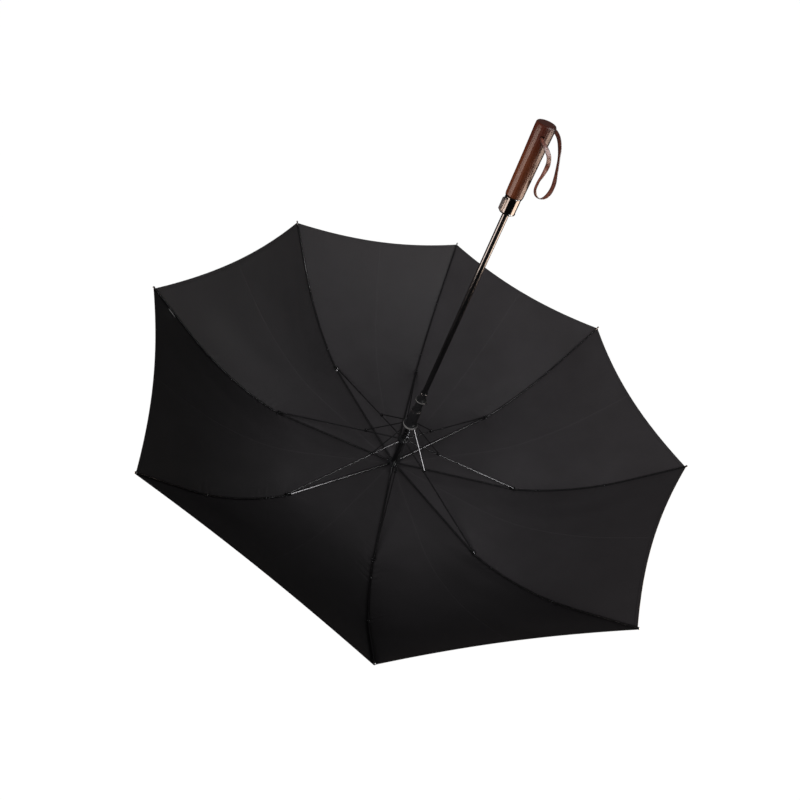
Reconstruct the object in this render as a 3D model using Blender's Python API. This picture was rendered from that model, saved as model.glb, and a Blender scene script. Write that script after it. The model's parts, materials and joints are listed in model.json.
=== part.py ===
"""Automatic stick umbrella, shown open with its handle up.

Metres, +Z along the shaft from the ferrule to the handle. The origin is the middle of the
ferrule's flat tip. Rib 1 points along +X, and the ribs are numbered anticlockwise from above.

Each rib works in its own upright plane. In that plane x is the distance from the shaft's
axis and z is the height. The rib hinges on the crown, the stretcher hinges on the rib, and
the stretcher's inner end hinges on the sliding notch. The rib's inner part and the stretcher
are equally long, and both inner hinges lie on the same radius, so the notch rides straight
along the shaft. A link joins each stretcher to the runner.
"""
import math

import bmesh
import bpy
from mathutils import Matrix, Vector
from mathutils.geometry import interpolate_bezier

# ---- driving dimensions -------------------------------------------------------------------
RIB_COUNT = 8
CROWN_Z = 0.080               # height of the rib hinges above the ferrule's tip
CLEARANCE = 0.0003            # gap between pieces that touch

SHAFT_R = 0.0059
SHAFT_WALL = 0.0009
SHAFT_BOTTOM = CROWN_Z - 0.038
SHAFT_TOP = CROWN_Z + 0.790
BORE_R = SHAFT_R + CLEARANCE

HINGE_R = 0.009               # radius of the rib and stretcher hinges round the shaft
ARM = 0.290                   # hinge to hinge, on the rib's inner part and on the stretcher
OPEN_ANGLE = math.radians(8.73)
STACK = 0.0040                # offset between two rods that fold on to each other
RIB_ROD_R = 0.0019
STRETCHER_R = 0.0016
LINK_R = 0.0013
TONGUE = 0.0007               # half thickness of a rod's flattened end
SLOT = 0.0010                 # half width of the slots that the flattened ends turn in

ELBOW_REACH = 0.005           # from the stretcher's hinge to the rib's elbow
RIB_START = math.radians(22.0)
RIB_END = math.radians(50.0)
RIB_BEND_R = 0.532
RIB_TAIL = 0.125
TIP_LENGTH = 0.012

LINK_FOOT = 0.081             # from the stretcher's inner hinge to the link's foot
RUNNER_Z = CROWN_Z + 0.145    # height of the links' hinges on the runner
RUNNER_HINGE_R = 0.013

PANEL_DROP = 0.0023           # canopy's inner face below the ribs' axes
PANEL_THICK = 0.0005
PANEL_SCALLOP = 0.031         # share of the rib's length that the rim is cut back mid panel
PANEL_SAG = 0.009             # how far a panel's middle is drawn in by its tension
PANEL_COLUMNS = 6
INNER_ROWS = 5                # rows of faces along the rib's inner part, its bend and its tail
BEND_ROWS = 6
TAIL_ROWS = 2

COLLAR_BOTTOM = CROWN_Z + 0.6840
COLLAR_TOP = CROWN_Z + 0.7132
COLLAR_R = 0.0134
LATCH_R = 0.0086              # bore that takes the runner's tail when the umbrella is shut
GRIP_TOP = CROWN_Z + 0.828
GRIP_R = 0.0150
STRAP_HOLE_Z = CROWN_Z + 0.811
STRAP_HOLE_R = 0.0034
STRAP_R = 0.0026
BUTTON_AZIMUTH = math.radians(212.0)

# ---- worked out from them -----------------------------------------------------------------
STEP = 2 * math.pi / RIB_COUNT
HALF = STEP / 2
ELBOW_RISE = ARM * math.sin(OPEN_ANGLE)
CROWN_HINGE = Vector((HINGE_R, 0, CROWN_Z))
STRETCHER_HINGE = Vector((HINGE_R + ARM * math.cos(OPEN_ANGLE), 0, CROWN_Z + ELBOW_RISE))
NOTCH_Z = CROWN_Z + 2 * ELBOW_RISE
NOTCH_HINGE = Vector((HINGE_R, 0, NOTCH_Z))


def in_plane(angle):
    """Unit vector in a rib's plane, at this angle above the outward direction."""
    return Vector((math.cos(angle), 0, math.sin(angle)))


def upward(angle):
    """Unit vector in a rib's plane, square to in_plane and on its upper side."""
    return Vector((-math.sin(angle), 0, math.cos(angle)))


ELBOW_FOOT = STRETCHER_HINGE - STACK * upward(OPEN_ANGLE)
INNER_SLOPE = math.atan2(ELBOW_FOOT.z - CROWN_Z, ELBOW_FOOT.x - HINGE_R)
ELBOW = ELBOW_FOOT + ELBOW_REACH * in_plane(INNER_SLOPE)
INNER_LENGTH = (ELBOW - CROWN_HINGE).length
BEND_LENGTH = RIB_BEND_R * (RIB_END - RIB_START)
RIB_LENGTH = INNER_LENGTH + BEND_LENGTH + RIB_TAIL
LINK_FOOT_HINGE = (NOTCH_HINGE + LINK_FOOT * in_plane(-OPEN_ANGLE)
                   + STACK * upward(-OPEN_ANGLE))
RUNNER_HINGE = Vector((RUNNER_HINGE_R, 0, RUNNER_Z))


def rib_point(s):
    """A point of the rib's axis in its plane, and the slope there, at length s from the crown."""
    if s <= INNER_LENGTH:
        return CROWN_HINGE + s * in_plane(INNER_SLOPE), INNER_SLOPE
    bent = min(s - INNER_LENGTH, BEND_LENGTH)
    slope = RIB_START + bent / RIB_BEND_R
    point = ELBOW + RIB_BEND_R * (upward(RIB_START) - upward(slope))
    return point + (s - INNER_LENGTH - bent) * in_plane(RIB_END), slope


def rib_stations(start, end):
    """Lengths along the rib where its canopy and its outer part both have corners."""
    bend_end = INNER_LENGTH + BEND_LENGTH
    return ([start + (INNER_LENGTH - start) * k / INNER_ROWS for k in range(INNER_ROWS)]
            + [INNER_LENGTH + BEND_LENGTH * k / BEND_ROWS for k in range(BEND_ROWS)]
            + [bend_end + (end - bend_end) * k / TAIL_ROWS for k in range(TAIL_ROWS + 1)])


# ---- materials ----------------------------------------------------------------------------
def material(name, colour, roughness, metallic=0.0):
    found = bpy.data.materials.new(name)
    found.use_nodes = True
    shader = found.node_tree.nodes["Principled BSDF"]
    shader.inputs["Base Color"].default_value = (*colour, 1)
    shader.inputs["Roughness"].default_value = roughness
    shader.inputs["Metallic"].default_value = metallic
    found.diffuse_color = (*colour, 1)
    return found


# ---- mesh helpers -------------------------------------------------------------------------
def new_object(name, mesh, finish, sharp=35):
    made = bpy.data.objects.new(name, mesh)
    bpy.context.scene.collection.objects.link(made)
    if finish:
        mesh.materials.clear()
        mesh.materials.append(finish)
        mesh.shade_smooth()
        mesh.set_sharp_from_angle(angle=math.radians(sharp))
    return made


def mesh_from(build):
    """A mesh filled by build(bm), with its faces turned outward."""
    bm = bmesh.new()
    build(bm)
    bmesh.ops.recalc_face_normals(bm, faces=bm.faces)
    mesh = bpy.data.meshes.new("shape")
    bm.to_mesh(mesh)
    bm.free()
    return mesh


def turned(profile, sides=24):
    """A ring or solid of revolution round Z, from a closed outline of (radius, height)."""
    def build(bm):
        rings = []
        for radius, height in profile:
            if radius == 0:
                rings.append([bm.verts.new((0, 0, height))])
                continue
            ring = []
            for k in range(sides):
                turn = 2 * math.pi * k / sides
                ring.append(bm.verts.new((radius * math.cos(turn), radius * math.sin(turn),
                                          height)))
            rings.append(ring)
        for low, high in zip(rings, rings[1:] + rings[:1]):
            for k in range(sides):
                following = (k + 1) % sides
                corners = [low[k % len(low)], low[following % len(low)],
                           high[following % len(high)], high[k % len(high)]]
                distinct = list(dict.fromkeys(corners))
                if len(distinct) > 2:
                    bm.faces.new(distinct)
    return mesh_from(build)


def rod(stations, sides=8):
    """A rod in a rib's plane. A station is (centre, slope, half width across, half height)."""
    def build(bm):
        rings = []
        for centre, slope, across, height in stations:
            ring = []
            for k in range(sides):
                turn = 2 * math.pi * (k + 0.5) / sides
                at = centre + Vector((0, across * math.cos(turn), 0))
                ring.append(bm.verts.new(at + height * math.sin(turn) * upward(slope)))
            rings.append(ring)
        for low, high in zip(rings, rings[1:]):
            for k in range(sides):
                following = (k + 1) % sides
                bm.faces.new((low[k], low[following], high[following], high[k]))
        bm.faces.new(rings[0])
        bm.faces.new(rings[-1])
    return mesh_from(build)


def block(low, high, turn=Matrix(), bevel=0.0):
    """A box between two corners, bevelled if asked, then moved by turn."""
    def build(bm):
        bmesh.ops.create_cube(bm, size=1)
        size = high - low
        place = Matrix.Translation((low + high) / 2) @ Matrix.Diagonal((*size, 1))
        bmesh.ops.transform(bm, matrix=place, verts=bm.verts)
        if bevel:
            bmesh.ops.bevel(bm, geom=bm.edges[:], offset=bevel, segments=2, affect="EDGES")
        bmesh.ops.transform(bm, matrix=turn, verts=bm.verts)
    return mesh_from(build)


def combined(base, steps):
    """base after each Boolean step (operation, mesh), as one mesh."""
    body = new_object("body_guide", base, None)
    tools = []
    for operation, mesh in steps:
        tool = new_object("tool_guide", mesh, None)
        tools.append(tool)
        cut = body.modifiers.new("cut", "BOOLEAN")
        cut.operation = operation
        cut.solver = "EXACT"
        cut.object = tool
    bpy.context.view_layer.update()
    result = bpy.data.meshes.new_from_object(
        body.evaluated_get(bpy.context.evaluated_depsgraph_get()))
    for guide in [body, *tools]:
        bpy.data.objects.remove(guide)
    return result


def about(mesh, origin):
    """The mesh moved so that origin becomes its own zero."""
    mesh.transform(Matrix.Translation(-origin))
    return mesh


def round_the_shaft(made, pivot, azimuth):
    """Stand an object, drawn in a rib's plane about pivot, at its azimuth."""
    spin = Matrix.Rotation(azimuth, 4, "Z")
    made.location = spin @ pivot
    made.rotation_euler = (0, 0, azimuth)


def attach(child, parent):
    bpy.context.view_layer.update()
    child.parent = parent
    child.matrix_parent_inverse = parent.matrix_world.inverted()


# ---- shaft, ferrule and centre fittings -----------------------------------------------------
def shaft_tube(finish):
    inner = SHAFT_R - SHAFT_WALL
    profile = [(SHAFT_R, SHAFT_TOP), (SHAFT_R, SHAFT_BOTTOM),
               (inner, SHAFT_BOTTOM), (inner, SHAFT_TOP)]
    return new_object("shaft_tube", turned(profile), finish)


def ferrule(finish):
    top = CROWN_Z - 0.0123
    floor = SHAFT_BOTTOM - CLEARANCE
    profile = [(0.0093, top), (0.0096, top - 0.0015), (0.0079, top - 0.0045),
               (0.0073, 0.0300), (0.0064, 0.0110), (0.0072, 0.0100), (0.0072, 0.0014),
               (0.0058, 0), (0, 0), (0, floor), (BORE_R, floor), (BORE_R, top)]
    return new_object("ferrule", turned(profile), finish)


def canopy_cap(finish):
    low, high = CROWN_Z - 0.0120, CROWN_Z - 0.0083
    profile = [(BORE_R, high), (0.0150, high), (0.0158, high - 0.0008),
               (0.0140, high - 0.0022), (0.0095, low), (BORE_R, low)]
    return new_object("canopy_cap", turned(profile), finish)


def slotted(profile, inner, low, high):
    """A turned ring with one open slot for each rib, from inner outward, from low to high."""
    reach = max(radius for radius, _ in profile) + 0.002
    cutters = []
    for k in range(RIB_COUNT):
        turn = Matrix.Rotation(k * STEP, 4, "Z")
        cutters.append(("DIFFERENCE",
                        block(Vector((inner, -SLOT, low)), Vector((reach, SLOT, high)), turn)))
    return combined(turned(profile, 2 * RIB_COUNT), cutters)


def crown(finish):
    low, high = -0.0050, 0.0041
    profile = [(BORE_R, high), (0.0110, high), (0.0120, high - 0.0010), (0.0120, low + 0.0010),
               (0.0110, low), (BORE_R, low)]
    made = new_object("crown", slotted(profile, 0.0072, -0.0022, 0.0060), finish)
    made.location.z = CROWN_Z
    return made


def upper_notch(finish):
    low, high = -0.0040, 0.0040
    profile = [(BORE_R, 0.0070), (0.0084, 0.0070), (0.0084, high), (0.0104, high),
               (0.0113, high - 0.0009), (0.0113, low + 0.0009), (0.0104, low), (BORE_R, low)]
    made = new_object("upper_notch", slotted(profile, 0.0072, -0.0060, 0.0022), finish)
    made.location.z = NOTCH_Z
    return made


def runner(finish):
    profile = [(BORE_R, 0.1060), (0.0077, 0.1060), (0.0080, 0.1051), (0.0080, 0.1037),
               (0.0076, 0.1027), (0.0076, 0.0835), (0.0117, 0.0835), (0.0122, 0.0825),
               (0.0122, 0.0806), (0.0117, 0.0796), (0.0090, 0.0796), (0.0090, 0.0505),
               (0.0107, 0.0505), (0.0112, 0.0490), (0.0107, 0.0472), (0.0119, 0.0445),
               (0.0120, 0.0040), (0.0156, 0.0036), (0.0164, 0.0026), (0.0164, -0.0026),
               (0.0154, -0.0036), (BORE_R, -0.0036)]
    ring = slotted(profile, 0.0110, -0.0060, 0.0018)
    nub = block(Vector((0.0110, -0.0022, 0.0801)), Vector((0.0148, 0.0022, 0.0831)),
                Matrix.Rotation(-HALF, 4, "Z"))
    made = new_object("runner", combined(ring, [("UNION", nub)]), finish)
    made.location.z = RUNNER_Z
    return made


def opening_spring(finish):
    """Coil spring round the shaft between the notch and the runner."""
    turns, wire, mean = 5.0, 0.0008, 0.0073
    low, high = NOTCH_Z + 0.0073 + wire, RUNNER_Z - 0.0039 - wire
    steps = round(turns * 12)

    def build(bm):
        rings = []
        for k in range(steps + 1):
            turn = 2 * math.pi * turns * k / steps
            out = Vector((math.cos(turn), math.sin(turn), 0))
            centre = mean * out + Vector((0, 0, low + (high - low) * k / steps))
            ring = []
            for j in range(6):
                roll = 2 * math.pi * j / 6
                at = centre + wire * (math.cos(roll) * out + math.sin(roll) * Vector((0, 0, 1)))
                ring.append(bm.verts.new(at))
            rings.append(ring)
        for a, b in zip(rings, rings[1:]):
            for j in range(6):
                bm.faces.new((a[j], a[(j + 1) % 6], b[(j + 1) % 6], b[j]))
        bm.faces.new(rings[0])
        bm.faces.new(rings[-1])
    return new_object("opening_spring", mesh_from(build), finish, 80)


# ---- one rib's moving pieces ------------------------------------------------------------------
def rib_inner_mesh():
    """Rod from the crown to the elbow, ending in a fork that holds the stretcher's hinge."""
    eye, slope = CROWN_HINGE, INNER_SLOPE
    along = in_plane(slope)
    stations = [(eye - 0.0013 * along, slope, 0.0005, 0.0006),
                (eye - 0.0006 * along, slope, TONGUE, 0.0013),
                (eye + 0.0045 * along, slope, TONGUE, 0.0013),
                (eye + 0.0085 * along, slope, RIB_ROD_R, RIB_ROD_R),
                (eye + (INNER_LENGTH - 0.0120) * along, slope, RIB_ROD_R, RIB_ROD_R)]
    turn = Matrix.Translation(ELBOW_FOOT) @ Matrix.Rotation(-slope, 4, "Y")
    cheek = block(Vector((-0.0100, -0.0030, -0.0012)), Vector((0.0036, 0.0030, 0.0056)), turn)
    slot = block(Vector((-0.0040, -0.0021, -0.0040)), Vector((0.0100, 0.0021, 0.0090)), turn)
    relief = block(Vector((-0.0120, -0.0021, 0.0020)), Vector((0.0100, 0.0021, 0.0090)), turn)
    corner = Vector((-0.0100, -0.0040, 0.0056))
    chamfer = block(Vector((-0.0070, -0.0040, 0)), Vector((0.0010, 0.0040, 0.0100)),
                    turn @ Matrix.Translation(corner + Vector((0, 0.0040, -0.0040)))
                    @ Matrix.Rotation(math.radians(45), 4, "Y"))
    return about(combined(rod(stations), [("UNION", cheek), ("DIFFERENCE", slot),
                                          ("DIFFERENCE", relief), ("DIFFERENCE", chamfer)]),
                 CROWN_HINGE)


def rib_outer_mesh():
    """Springy outer part of the rib, from the elbow to just short of the tip."""
    lengths = rib_stations(0, RIB_LENGTH - TIP_LENGTH + 0.004)[INNER_ROWS + 1:]
    stations = [(ELBOW - 0.0012 * in_plane(RIB_START), RIB_START, 0.0010, 0.0008),
                (ELBOW, RIB_START, RIB_ROD_R, RIB_ROD_R)]
    for k, length in enumerate(lengths):
        point, slope = rib_point(length)
        taper = RIB_ROD_R * (1 - 0.18 * (k + 1) / len(lengths))
        stations.append((point, slope, taper, taper))
    return about(rod(stations), ELBOW)


def rib_tip_mesh():
    """Metal cap that holds the canopy's corner on the rib's end."""
    point, slope = rib_point(RIB_LENGTH - TIP_LENGTH + 0.004 + CLEARANCE)
    profile = [(0, 0), (0.0015, 0.0002), (0.0016, 0.0060), (0.0016, 0.0076), (0.0021, 0.0082),
               (0.0023, 0.0096), (0.0018, 0.0108), (0, 0.0114)]
    mesh = turned(profile, 10)
    mesh.transform(Matrix.Translation(point) @ Matrix.Rotation(math.pi / 2 - slope, 4, "Y"))
    return about(mesh, ELBOW)


def stretcher_mesh():
    """Rod from the rib to the sliding notch, with a small fork where its link is hinged."""
    slope = -OPEN_ANGLE
    along = in_plane(slope)
    eye = NOTCH_HINGE
    stations = [(eye - 0.0012 * along, slope, 0.0005, 0.0006),
                (eye - 0.0006 * along, slope, TONGUE, 0.0012),
                (eye + 0.0042 * along, slope, TONGUE, 0.0012),
                (eye + 0.0072 * along, slope, STRETCHER_R, STRETCHER_R),
                (eye + (ARM - 0.0010) * along, slope, STRETCHER_R, STRETCHER_R),
                (eye + (ARM + 0.0014) * along, slope, 0.0009, 0.0009)]
    turn = Matrix.Translation(LINK_FOOT_HINGE) @ Matrix.Rotation(-slope, 4, "Y")
    low = -STACK - 0.0012
    fork = block(Vector((-0.0030, -0.0023, low)), Vector((0.0030, 0.0023, 0.0015)), turn)
    slot = block(Vector((-0.0050, -0.0015, -0.0019)), Vector((0.0050, 0.0015, 0.0040)), turn)
    return about(combined(rod(stations), [("UNION", fork), ("DIFFERENCE", slot)]),
                 STRETCHER_HINGE)


def link_mesh():
    """Short rod from the runner down to the stretcher."""
    run = LINK_FOOT_HINGE - RUNNER_HINGE
    length, slope = run.length, math.atan2(run.z, run.x)
    along = in_plane(slope)
    eye = RUNNER_HINGE
    stations = [(eye - 0.0012 * along, slope, 0.0005, 0.0006),
                (eye - 0.0006 * along, slope, TONGUE, 0.0012),
                (eye + 0.0045 * along, slope, TONGUE, 0.0012),
                (eye + 0.0080 * along, slope, LINK_R, LINK_R),
                (eye + length * along, slope, LINK_R, LINK_R),
                (eye + (length + 0.0009) * along, slope, 0.0006, 0.0006)]
    return about(rod(stations), LINK_FOOT_HINGE)


def panel_point(s, v, depth):
    """A point of a panel between two ribs, drawn about the X axis: s along, v across (-1 to 1)."""
    middle = 1 - v * v
    length = s * (1 - PANEL_SCALLOP * middle)
    point, slope = rib_point(length)
    hub = max(0.0, 1 - length / 0.035)
    drop = depth + 0.0050 * hub * hub * (3 - 2 * hub)
    point = point - drop * upward(slope)
    sag = PANEL_SAG * middle * math.sin(math.pi * min(1.0, length / RIB_LENGTH)) ** 2
    inward = sag * upward(slope)
    wide = (point.x * math.sin(HALF) - CLEARANCE) * v
    return Vector((point.x * math.cos(HALF) + inward.x, wide, point.z + inward.z))


def panel_mesh():
    """One sewn panel of the canopy, as a thin closed shell."""
    first, last = 0.0025, RIB_LENGTH - 0.0010

    def build(bm):
        skins = []
        for depth in (PANEL_DROP, PANEL_DROP + PANEL_THICK):
            skin = []
            for s in rib_stations(first, last):
                line = []
                for column in range(PANEL_COLUMNS + 1):
                    line.append(bm.verts.new(panel_point(s, 2 * column / PANEL_COLUMNS - 1,
                                                         depth)))
                skin.append(line)
            skins.append(skin)
        for skin in skins:
            for a, b in zip(skin, skin[1:]):
                for k in range(PANEL_COLUMNS):
                    bm.faces.new((a[k], a[k + 1], b[k + 1], b[k]))
        for edge in (lambda skin: skin[0], lambda skin: skin[-1],
                     lambda skin: [line[0] for line in skin],
                     lambda skin: [line[-1] for line in skin]):
            upper, lower = edge(skins[0]), edge(skins[1])
            for k in range(len(upper) - 1):
                bm.faces.new((upper[k], upper[k + 1], lower[k + 1], lower[k]))
    return mesh_from(build)


def frame_and_canopy(steel, cloth, tip_metal, root):
    rib, outer, tip = rib_inner_mesh(), rib_outer_mesh(), rib_tip_mesh()
    stretcher, link = stretcher_mesh(), link_mesh()
    panel = about(panel_mesh(), Vector((0, 0, CROWN_Z)))
    for k in range(RIB_COUNT):
        number, azimuth = k + 1, k * STEP
        inner_part = new_object(f"rib_inner_{number}", rib, steel)
        round_the_shaft(inner_part, CROWN_HINGE, azimuth)
        attach(inner_part, root)
        outer_part = new_object(f"rib_outer_{number}", outer, steel)
        round_the_shaft(outer_part, ELBOW, azimuth)
        attach(outer_part, inner_part)
        tip_part = new_object(f"rib_tip_{number}", tip, tip_metal)
        round_the_shaft(tip_part, ELBOW, azimuth)
        attach(tip_part, outer_part)
        stretcher_part = new_object(f"stretcher_{number}", stretcher, steel)
        round_the_shaft(stretcher_part, STRETCHER_HINGE, azimuth)
        attach(stretcher_part, inner_part)
        link_part = new_object(f"link_{number}", link, steel)
        round_the_shaft(link_part, LINK_FOOT_HINGE, azimuth)
        attach(link_part, stretcher_part)
        panel_part = new_object(f"canopy_panel_{number}", panel, cloth)
        round_the_shaft(panel_part, Vector((0, 0, CROWN_Z)), azimuth + HALF)
        attach(panel_part, inner_part)


# ---- handle -----------------------------------------------------------------------------------
def grip(finish):
    tenon, low = COLLAR_TOP - 0.0035, COLLAR_TOP + CLEARANCE
    profile = [(LATCH_R, tenon), (LATCH_R, COLLAR_TOP + 0.0070), (BORE_R, COLLAR_TOP + 0.0070),
               (BORE_R, SHAFT_TOP + 0.0010), (0, SHAFT_TOP + 0.0010), (0, GRIP_TOP),
               (0.0132, GRIP_TOP), (0.0149, GRIP_TOP - 0.0006), (0.0159, GRIP_TOP - 0.0022),
               (0.0161, GRIP_TOP - 0.0060), (0.0154, GRIP_TOP - 0.0500),
               (GRIP_R, low + 0.0012), (0.0142, low), (0.0110, low), (0.0110, tenon)]
    hole = turned([(0, -0.02), (STRAP_HOLE_R, -0.02), (STRAP_HOLE_R, 0.02), (0, 0.02)], 12)
    hole.transform(Matrix.Translation((0, 0, STRAP_HOLE_Z))
                   @ Matrix.Rotation(math.pi / 2, 4, "X"))
    return new_object("grip", combined(turned(profile, 28), [("DIFFERENCE", hole)]), finish)


def collar(finish):
    seat = COLLAR_TOP - 0.0040
    profile = [(LATCH_R, COLLAR_BOTTOM), (LATCH_R, seat), (0.0113, seat), (0.0113, COLLAR_TOP),
               (0.0141, COLLAR_TOP), (0.0143, COLLAR_TOP - 0.0008), (COLLAR_R, COLLAR_TOP - 0.0016),
               (COLLAR_R, COLLAR_BOTTOM + 0.0024), (0.0138, COLLAR_BOTTOM + 0.0016),
               (0.0136, COLLAR_BOTTOM)]
    window = block(Vector((0.0060, -0.0047, COLLAR_BOTTOM + 0.0030)),
                   Vector((0.0200, 0.0047, COLLAR_TOP - 0.0045)),
                   Matrix.Rotation(BUTTON_AZIMUTH, 4, "Z"))
    return new_object("collar", combined(turned(profile, 28), [("DIFFERENCE", window)]), finish)


def push_button(finish):
    """Release button that slides into the collar's window."""
    low, high = COLLAR_BOTTOM + 0.0033, COLLAR_TOP - 0.0048
    middle = Vector((0.0145, 0, (low + high) / 2))
    body = block(Vector((0.0117, -0.0044, low)) - middle, Vector((0.0178, 0.0044, high)) - middle,
                 bevel=0.0012)
    made = new_object("push_button", body, finish)
    round_the_shaft(made, middle, BUTTON_AZIMUTH)
    return made


def button_spring(finish):
    """Bowed leaf behind the button, resting on the latch bore's edge at both ends."""
    low, high = COLLAR_BOTTOM + 0.0050, COLLAR_TOP - 0.0065
    count = 8

    def build(bm):
        rings = []
        for k in range(count + 1):
            share = k / count
            height = low + (high - low) * share
            out = 0.0090 + 0.0021 * math.sin(math.pi * share)
            ring = []
            for across, thick in ((-0.0022, 0), (0.0022, 0), (0.0022, 0.0003), (-0.0022, 0.0003)):
                ring.append(bm.verts.new((out + thick, across, height)))
            rings.append(ring)
        for a, b in zip(rings, rings[1:]):
            for j in range(4):
                bm.faces.new((a[j], a[(j + 1) % 4], b[(j + 1) % 4], b[j]))
        bm.faces.new(rings[0])
        bm.faces.new(rings[-1])
    made = new_object("button_spring", mesh_from(build), finish, 60)
    made.rotation_euler.z = BUTTON_AZIMUTH
    return made


# The strap leaves the grip's front mouth, hangs in one loop beside the grip and goes back
# in at the rear mouth. The points are measured from the cross hole's middle.
STRAP_ROUTE = [
    (0.0000, -0.0120, 0.0000), (0.0001, -0.0185, -0.0004), (0.0034, -0.0232, -0.0030),
    (0.0110, -0.0254, -0.0085), (0.0190, -0.0246, -0.0170), (0.0235, -0.0222, -0.0290),
    (0.0240, -0.0188, -0.0440), (0.0228, -0.0150, -0.0585), (0.0245, -0.0100, -0.0740),
    (0.0315, -0.0052, -0.0850), (0.0415, -0.0018, -0.0872), (0.0490, 0.0025, -0.0795),
    (0.0508, 0.0065, -0.0650), (0.0468, 0.0105, -0.0465), (0.0415, 0.0145, -0.0280),
    (0.0362, 0.0184, -0.0140), (0.0282, 0.0222, -0.0020), (0.0180, 0.0250, 0.0046),
    (0.0090, 0.0250, 0.0050), (0.0028, 0.0222, 0.0026), (0.0001, 0.0180, 0.0003),
    (0.0000, 0.0120, 0.0000),
]


def smooth_route(points, count):
    """count points, evenly spaced, on a smooth curve through the given points."""
    knots = [Vector(p) for p in points]
    fine = []
    for k in range(len(knots) - 1):
        before = knots[max(k - 1, 0)]
        after = knots[min(k + 2, len(knots) - 1)]
        first = knots[k] + (knots[k + 1] - before) / 6
        second = knots[k + 1] - (after - knots[k]) / 6
        fine += interpolate_bezier(knots[k], first, second, knots[k + 1], 13)[:-1]
    fine.append(knots[-1])
    lengths = [0.0]
    for a, b in zip(fine, fine[1:]):
        lengths.append(lengths[-1] + (b - a).length)
    even, k = [], 0
    for n in range(count):
        target = lengths[-1] * n / (count - 1)
        while k < len(fine) - 2 and lengths[k + 1] < target:
            k += 1
        share = (target - lengths[k]) / (lengths[k + 1] - lengths[k])
        even.append(fine[k].lerp(fine[k + 1], share))
    return even


def wrist_strap(finish):
    curve = bpy.data.curves.new("wrist_strap", "CURVE")
    curve.dimensions = "3D"
    curve.bevel_depth = STRAP_R
    curve.bevel_resolution = 2
    curve.use_fill_caps = True
    route = smooth_route(STRAP_ROUTE, 44)
    spline = curve.splines.new("POLY")
    spline.points.add(len(route) - 1)
    for point, at in zip(spline.points, route):
        point.co = (*at, 1)
    curve.materials.append(finish)
    made = bpy.data.objects.new("wrist_strap", curve)
    bpy.context.scene.collection.objects.link(made)
    made.location.z = STRAP_HOLE_Z
    return made


# ---- the umbrella -----------------------------------------------------------------------------
def clear_scene():
    for old in list(bpy.data.objects):
        bpy.data.objects.remove(old)


def main():
    clear_scene()
    black_steel = material("black_steel", (0.018, 0.018, 0.020), 0.28, 0.9)
    chrome = material("chrome", (0.80, 0.80, 0.82), 0.12, 1.0)
    spring_steel = material("spring_steel", (0.35, 0.35, 0.37), 0.30, 1.0)
    black_plastic = material("black_plastic", (0.020, 0.020, 0.022), 0.35)
    cloth = material("black_pongee", (0.022, 0.021, 0.023), 0.62)
    wood = material("lacquered_wood", (0.36, 0.13, 0.045), 0.22)
    leather = material("brown_leather", (0.22, 0.085, 0.055), 0.55)
    root = shaft_tube(black_steel)
    fixed = [ferrule(black_plastic), canopy_cap(black_plastic), crown(black_plastic),
             grip(wood), collar(chrome), wrist_strap(leather), button_spring(spring_steel)]
    moving = [upper_notch(black_plastic), runner(black_plastic), push_button(chrome),
              opening_spring(spring_steel)]
    for piece in fixed + moving:
        attach(piece, root)
    frame_and_canopy(black_steel, cloth, chrome, root)


main()
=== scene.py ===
"""Looks for the stick umbrella: canopy cloth, strap, small fittings, materials and studio."""
import json
import math

import bmesh
import bpy
from mathutils import Matrix, Vector, noise
from mathutils.geometry import interpolate_bezier


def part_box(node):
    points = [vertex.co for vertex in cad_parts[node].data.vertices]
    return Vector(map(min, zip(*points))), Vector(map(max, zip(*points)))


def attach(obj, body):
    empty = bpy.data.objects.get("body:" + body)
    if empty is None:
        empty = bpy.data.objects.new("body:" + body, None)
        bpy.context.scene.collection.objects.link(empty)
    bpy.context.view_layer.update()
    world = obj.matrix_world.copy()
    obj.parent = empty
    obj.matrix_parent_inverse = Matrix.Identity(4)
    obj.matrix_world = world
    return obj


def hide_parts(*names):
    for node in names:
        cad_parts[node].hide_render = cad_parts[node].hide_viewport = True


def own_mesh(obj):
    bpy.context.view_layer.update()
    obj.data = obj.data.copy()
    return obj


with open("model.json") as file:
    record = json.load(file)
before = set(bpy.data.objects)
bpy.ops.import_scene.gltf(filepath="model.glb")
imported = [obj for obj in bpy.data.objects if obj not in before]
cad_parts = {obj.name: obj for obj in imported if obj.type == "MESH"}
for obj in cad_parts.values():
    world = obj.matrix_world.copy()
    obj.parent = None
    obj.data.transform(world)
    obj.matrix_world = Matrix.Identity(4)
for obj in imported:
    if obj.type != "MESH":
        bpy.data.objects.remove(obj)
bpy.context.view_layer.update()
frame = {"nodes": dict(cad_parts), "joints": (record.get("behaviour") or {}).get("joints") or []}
JOINTS = {joint["name"]: joint for joint in frame["joints"]}

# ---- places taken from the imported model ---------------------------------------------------
RIBS = 8
STEP = 2 * math.pi / RIBS
HALF = STEP / 2


def hinge(name):
    return Vector(JOINTS[name]["pos_m"])


CROWN_HINGE = hinge("rib_1_fold")
ELBOW = hinge("rib_1_flex")
STRETCHER_HINGE = hinge("stretcher_1_turn")
LINK_FOOT = hinge("link_1_turn")
NOTCH_HINGE = hinge("notch_level")
CROWN_Z = CROWN_HINGE.z
GRIP_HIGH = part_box("grip")[1].z
SPRING_LOW, SPRING_HIGH = (corner.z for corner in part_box("opening_spring"))
INNER_LENGTH = (ELBOW - CROWN_HINGE).length
INNER_SLOPE = math.atan2(ELBOW.z - CROWN_Z, ELBOW.x - CROWN_HINGE.x)

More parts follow.
